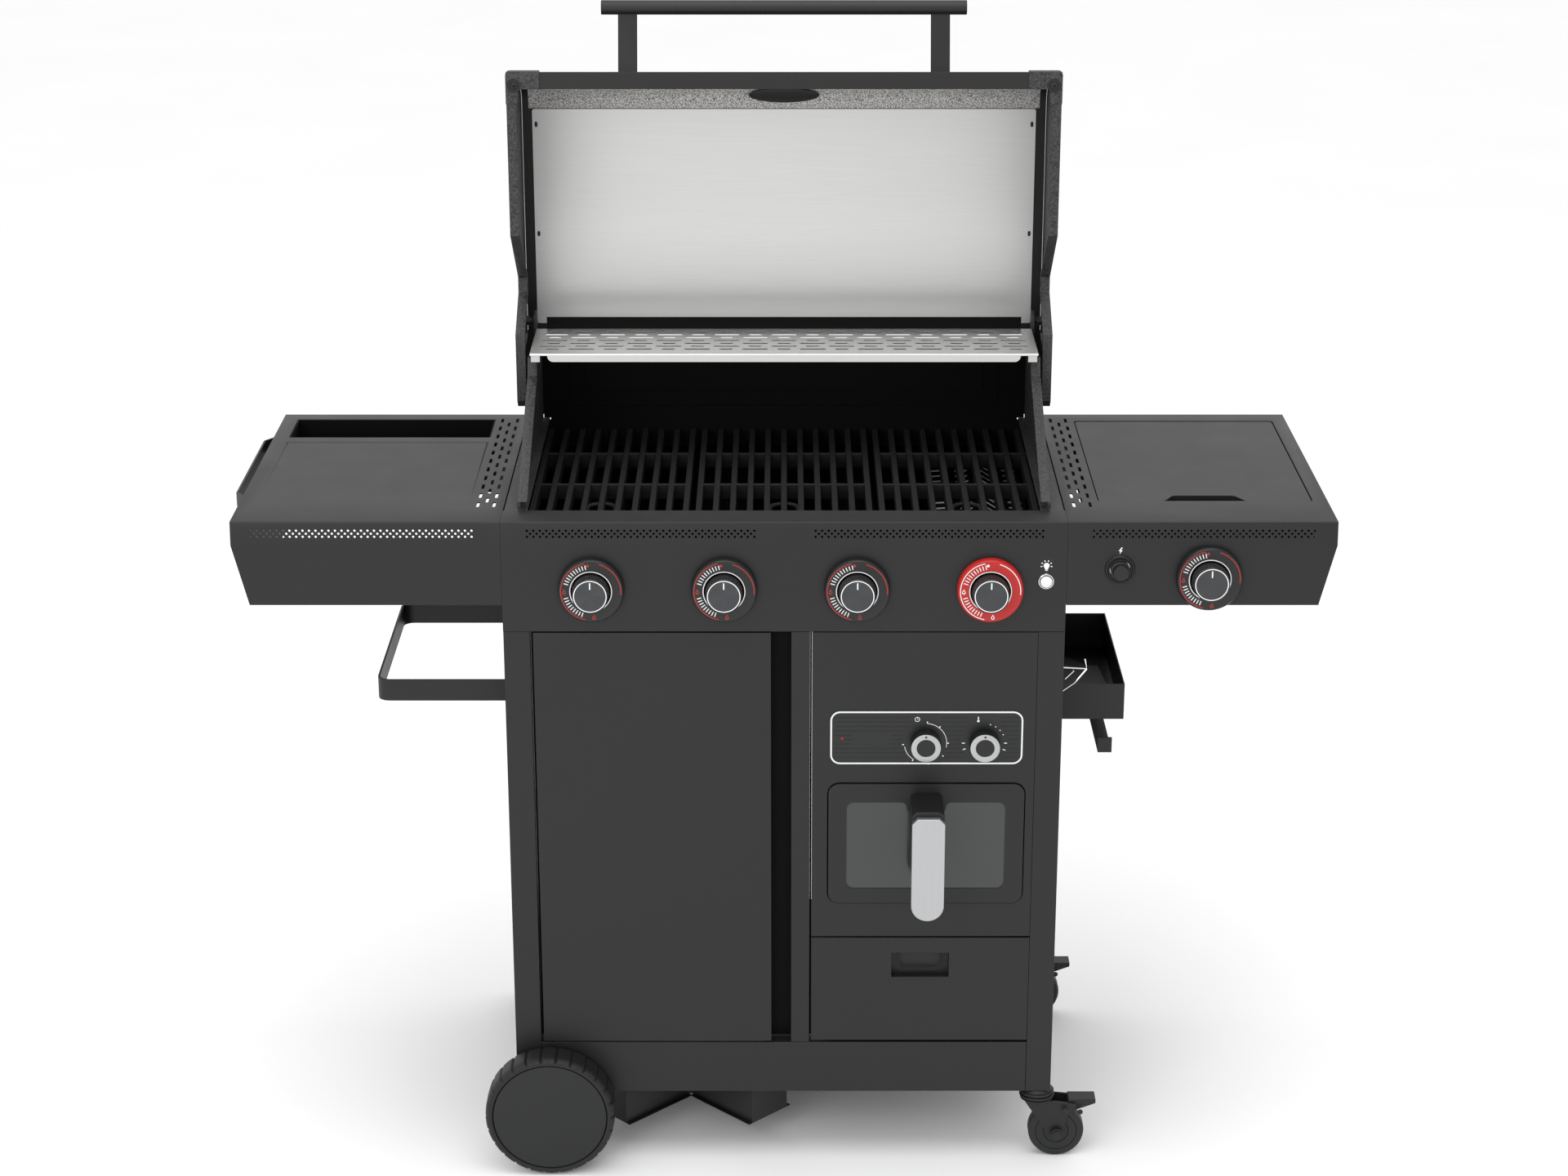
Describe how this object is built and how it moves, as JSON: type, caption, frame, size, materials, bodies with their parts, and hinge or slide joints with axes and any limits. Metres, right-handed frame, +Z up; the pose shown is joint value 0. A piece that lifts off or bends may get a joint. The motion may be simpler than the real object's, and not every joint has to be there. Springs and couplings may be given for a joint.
{
  "type": "gas barbecue grill",
  "caption": "Gas barbecue grill on a wheeled cabinet, with an open hinged lid, side shelves, a side burner and an air fryer drawer.",
  "frame": {"origin": "on the floor, under the middle of the grill's bounding box", "axes": "+Z up, -Y out of the front where the knobs are, +X to the side burner's end"},
  "size_m": [1.4154, 0.576, 1.532],
  "materials": {
    "black_enamel": "satin black powder coat on folded steel",
    "black_steel": "semi-gloss black paint on pressed steel",
    "textured_casting": "textured black powder coat on cast aluminium",
    "firebox_black": "matt black enamel",
    "bezel_black": "gloss black ring with a red arc and white ticks",
    "bezel_red": "red ring with white ticks",
    "knob_plastic": "ribbed black knob with a spun metal face",
    "dial_chrome": "bright ring round a black centre",
    "chrome": "bright chrome",
    "black_plastic": "fine-grained black plastic",
    "wheel_plastic": "matt black moulded tread and hub",
    "cast_iron": "seasoned matt cast iron",
    "aluminised_steel": "dull aluminised sheet",
    "stainless_steel": "fine brushed stainless sheet"
  },
  "bodies": {
    "frame": {"leg_front_left": "black_enamel", "leg_front_right": "black_enamel", "leg_rear_left": "black_enamel", "leg_rear_right": "black_enamel", "base_shelf": "black_enamel", "tank_cradle": "black_enamel", "side_panel_left": "black_enamel", "side_panel_right": "black_enamel", "centre_post": "black_enamel", "control_panel": "black_enamel", "knob_bezel_1": "bezel_black", "knob_bezel_2": "bezel_black", "knob_bezel_3": "bezel_black", "knob_bezel_4": "bezel_red", "side_burner_bezel": "bezel_black", "firebox_tub": "firebox_black", "firebox_end_left": "textured_casting", "firebox_end_right": "textured_casting", "burner_assembly": "aluminised_steel", "heat_tents": "stainless_steel", "left_shelf": "black_enamel", "condiment_trough": "black_enamel", "right_shelf": "black_enamel", "side_burner": "textured_casting", "bag_holder": "black_enamel", "side_caddy": "black_enamel", "fryer_fascia": "black_enamel", "fryer_housing": "aluminised_steel"},
    "lid": {"lid_shell": "black_enamel", "lid_end_left": "textured_casting", "lid_end_right": "textured_casting", "lid_handle": "black_enamel"},
    "door": {"cabinet_door": "black_enamel"},
    "fryer_drawer": {"fryer_drawer": "black_enamel", "fryer_basket": "aluminised_steel", "fryer_handle": "black_plastic"},
    "lower_drawer": {"lower_drawer": "black_enamel"},
    "side_burner_lid": {"side_burner_lid": "black_enamel"},
    "burner_knob_1": {"burner_knob_1": "knob_plastic"},
    "burner_knob_2": {"burner_knob_2": "knob_plastic"},
    "burner_knob_3": {"burner_knob_3": "knob_plastic"},
    "burner_knob_4": {"burner_knob_4": "knob_plastic"},
    "side_burner_knob": {"side_burner_knob": "knob_plastic"},
    "timer_knob": {"timer_knob": "dial_chrome"},
    "temperature_knob": {"temperature_knob": "dial_chrome"},
    "light_button": {"light_button": "chrome"},
    "igniter_button": {"igniter_button": "black_plastic"},
    "wheel_front": {"wheel_front": "wheel_plastic"},
    "wheel_rear": {"wheel_rear": "wheel_plastic"},
    "caster_fork_front": {"caster_fork_front": "black_steel"},
    "caster_wheel_front": {"caster_wheel_front": "wheel_plastic"},
    "caster_pedal_front": {"caster_pedal_front": "black_plastic"},
    "caster_fork_rear": {"caster_fork_rear": "black_steel"},
    "caster_wheel_rear": {"caster_wheel_rear": "wheel_plastic"},
    "caster_pedal_rear": {"caster_pedal_rear": "black_plastic"},
    "grate_left": {"grate_left": "cast_iron"},
    "grate_middle": {"grate_middle": "cast_iron"},
    "grate_right": {"grate_right": "cast_iron"},
    "warming_rack": {"warming_rack": "stainless_steel"},
    "grease_tray": {"grease_tray": "aluminised_steel"}
  },
  "joints": [
    {"name": "lid_hinge", "type": "hinge", "parent": "frame", "child": "lid", "pos_m": [0, 0.187, 1.08], "axis": [-1, 0, 0], "range_deg": [-89, 0]},
    {"name": "door_hinge", "type": "hinge", "parent": "frame", "child": "door", "pos_m": [-0.3175, -0.206, 0.181], "axis": [0, 0, -1], "range_deg": [0, 105]},
    {"name": "fryer_drawer_slide", "type": "slide", "parent": "frame", "child": "fryer_drawer", "axis": [0, -1, 0], "range_m": [0, 0.25]},
    {"name": "lower_drawer_slide", "type": "slide", "parent": "frame", "child": "lower_drawer", "axis": [0, -1, 0], "range_m": [0, 0.28]},
    {"name": "side_burner_lid_hinge", "type": "hinge", "parent": "frame", "child": "side_burner_lid", "pos_m": [0.5485, 0.2355, 0.9155], "axis": [-1, 0, 0], "range_deg": [0, 95]},
    {"name": "burner_knob_1_turn", "type": "hinge", "parent": "frame", "child": "burner_knob_1", "pos_m": [-0.24755, -0.213, 0.831], "axis": [0, -1, 0], "range_deg": [0, 180]},
    {"name": "burner_knob_2_turn", "type": "hinge", "parent": "frame", "child": "burner_knob_2", "pos_m": [-0.07685, -0.213, 0.831], "axis": [0, -1, 0], "range_deg": [0, 180]},
    {"name": "burner_knob_3_turn", "type": "hinge", "parent": "frame", "child": "burner_knob_3", "pos_m": [0.09385, -0.213, 0.831], "axis": [0, -1, 0], "range_deg": [0, 180]},
    {"name": "burner_knob_4_turn", "type": "hinge", "parent": "frame", "child": "burner_knob_4", "pos_m": [0.26455, -0.213, 0.831], "axis": [0, -1, 0], "range_deg": [0, 180]},
    {"name": "side_burner_knob_turn", "type": "hinge", "parent": "frame", "child": "side_burner_knob", "pos_m": [0.545, -0.213, 0.847], "axis": [0, -1, 0], "range_deg": [0, 180]},
    {"name": "timer_knob_turn", "type": "hinge", "parent": "frame", "child": "timer_knob", "pos_m": [0.185, -0.213, 0.616], "axis": [0, 1, 0], "range_deg": [0, 300]},
    {"name": "temperature_knob_turn", "type": "hinge", "parent": "frame", "child": "temperature_knob", "pos_m": [0.262, -0.213, 0.616], "axis": [0, 1, 0], "range_deg": [0, 270]},
    {"name": "light_button_press", "type": "slide", "parent": "frame", "child": "light_button", "axis": [0, 1, 0], "range_m": [0, 0.003], "stiffness_N_per_m": 150},
    {"name": "igniter_button_press", "type": "slide", "parent": "frame", "child": "igniter_button", "axis": [0, 1, 0], "range_m": [0, 0.005], "stiffness_N_per_m": 200},
    {"name": "wheel_front_spin", "type": "hinge", "parent": "frame", "child": "wheel_front", "pos_m": [-0.3163, -0.235, 0.0875], "axis": [0, 1, 0], "continuous": true},
    {"name": "wheel_rear_spin", "type": "hinge", "parent": "frame", "child": "wheel_rear", "pos_m": [-0.3163, 0.2655, 0.0875], "axis": [0, 1, 0], "continuous": true},
    {"name": "caster_front_swivel", "type": "hinge", "parent": "frame", "child": "caster_fork_front", "pos_m": [0.3457, -0.193, 0.1], "axis": [0, 0, 1], "continuous": true},
    {"name": "caster_front_roll", "type": "hinge", "parent": "caster_fork_front", "child": "caster_wheel_front", "pos_m": [0.3729, -0.193, 0.038], "axis": [0, 1, 0], "continuous": true},
    {"name": "caster_front_brake", "type": "hinge", "parent": "caster_fork_front", "child": "caster_pedal_front", "pos_m": [0.3929, -0.193, 0.078], "axis": [0, 1, 0], "range_deg": [0, 10]},
    {"name": "caster_rear_swivel", "type": "hinge", "parent": "frame", "child": "caster_fork_rear", "pos_m": [0.3457, 0.2235, 0.1], "axis": [0, 0, 1], "continuous": true},
    {"name": "caster_rear_roll", "type": "hinge", "parent": "caster_fork_rear", "child": "caster_wheel_rear", "pos_m": [0.3729, 0.2235, 0.038], "axis": [0, 1, 0], "continuous": true},
    {"name": "caster_rear_brake", "type": "hinge", "parent": "caster_fork_rear", "child": "caster_pedal_rear", "pos_m": [0.3929, 0.2235, 0.078], "axis": [0, 1, 0], "range_deg": [0, 10]},
    {"name": "grate_left_tilt", "type": "hinge", "parent": "frame", "child": "grate_left", "pos_m": [-0.3558, -0.013, 0.905], "axis": [0, -1, 0], "range_deg": [0, 18]},
    {"name": "grate_middle_lift", "type": "slide", "parent": "frame", "child": "grate_middle", "axis": [0, 0, 1], "range_m": [0, 0.12]},
    {"name": "grate_right_tilt", "type": "hinge", "parent": "frame", "child": "grate_right", "pos_m": [0.3558, -0.013, 0.905], "axis": [0, 1, 0], "range_deg": [0, 18]},
    {"name": "warming_rack_lift", "type": "slide", "parent": "frame", "child": "warming_rack", "axis": [0, 0, 1], "range_m": [0, 0.15]},
    {"name": "grease_tray_slide", "type": "slide", "parent": "frame", "child": "grease_tray", "axis": [0, 1, 0], "range_m": [0, 0.25]}
  ]
}
